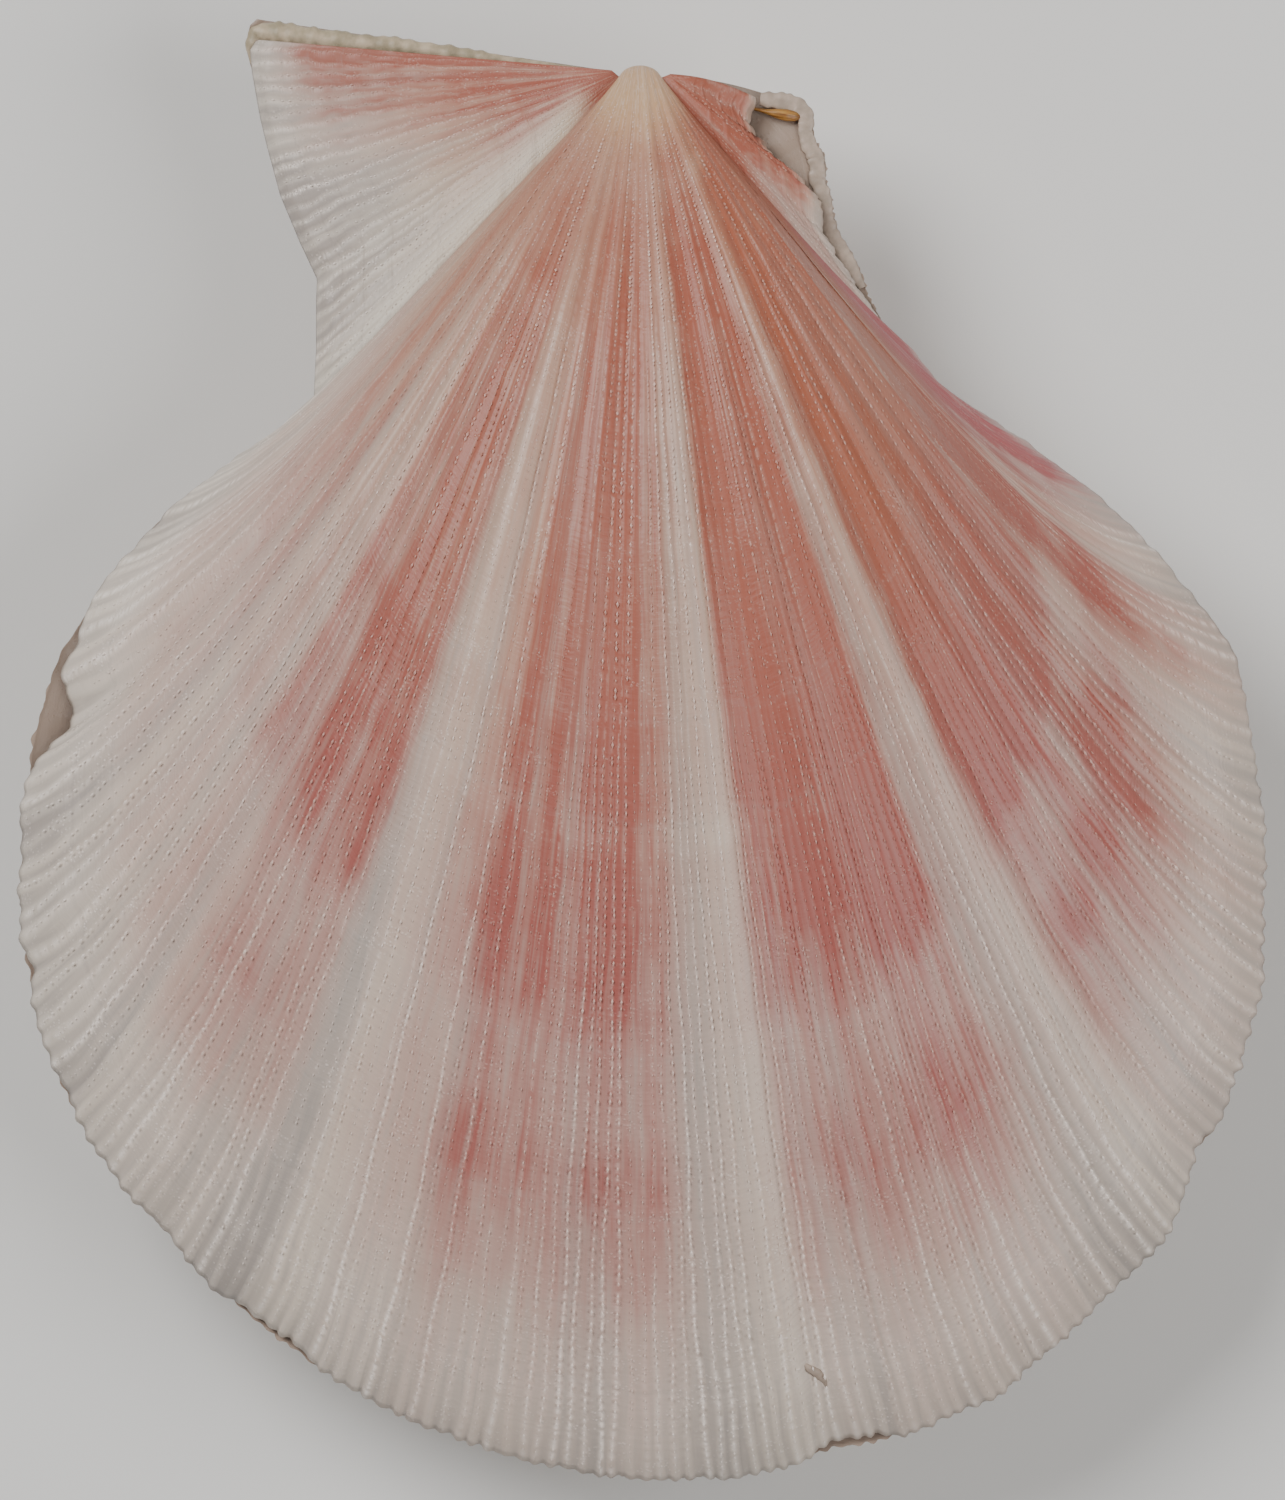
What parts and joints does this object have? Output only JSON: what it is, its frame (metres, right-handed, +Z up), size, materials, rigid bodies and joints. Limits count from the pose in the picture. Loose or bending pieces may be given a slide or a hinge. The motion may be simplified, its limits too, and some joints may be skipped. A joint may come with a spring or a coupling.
{
  "type": "scallop shell",
  "caption": "Closed spear scallop shell with fanned folds, fine beaded riblets, unequal ears and a broken rear ear.",
  "frame": {"origin": "centre of the small flat rest spot under the lower valve", "axes": "+Z up out of the upper valve, +Y towards the hinge and beaks, +X towards the short rear ear"},
  "size_m": [0.0552, 0.0646, 0.0197],
  "materials": {
    "upper_shell": "satin",
    "lower_shell": "satin",
    "ligament_horn": "satin"
  },
  "bodies": {
    "root": {"upper_valve": "upper_shell", "lower_valve": "lower_shell", "ligament": "ligament_horn"}
  },
  "joints": []
}
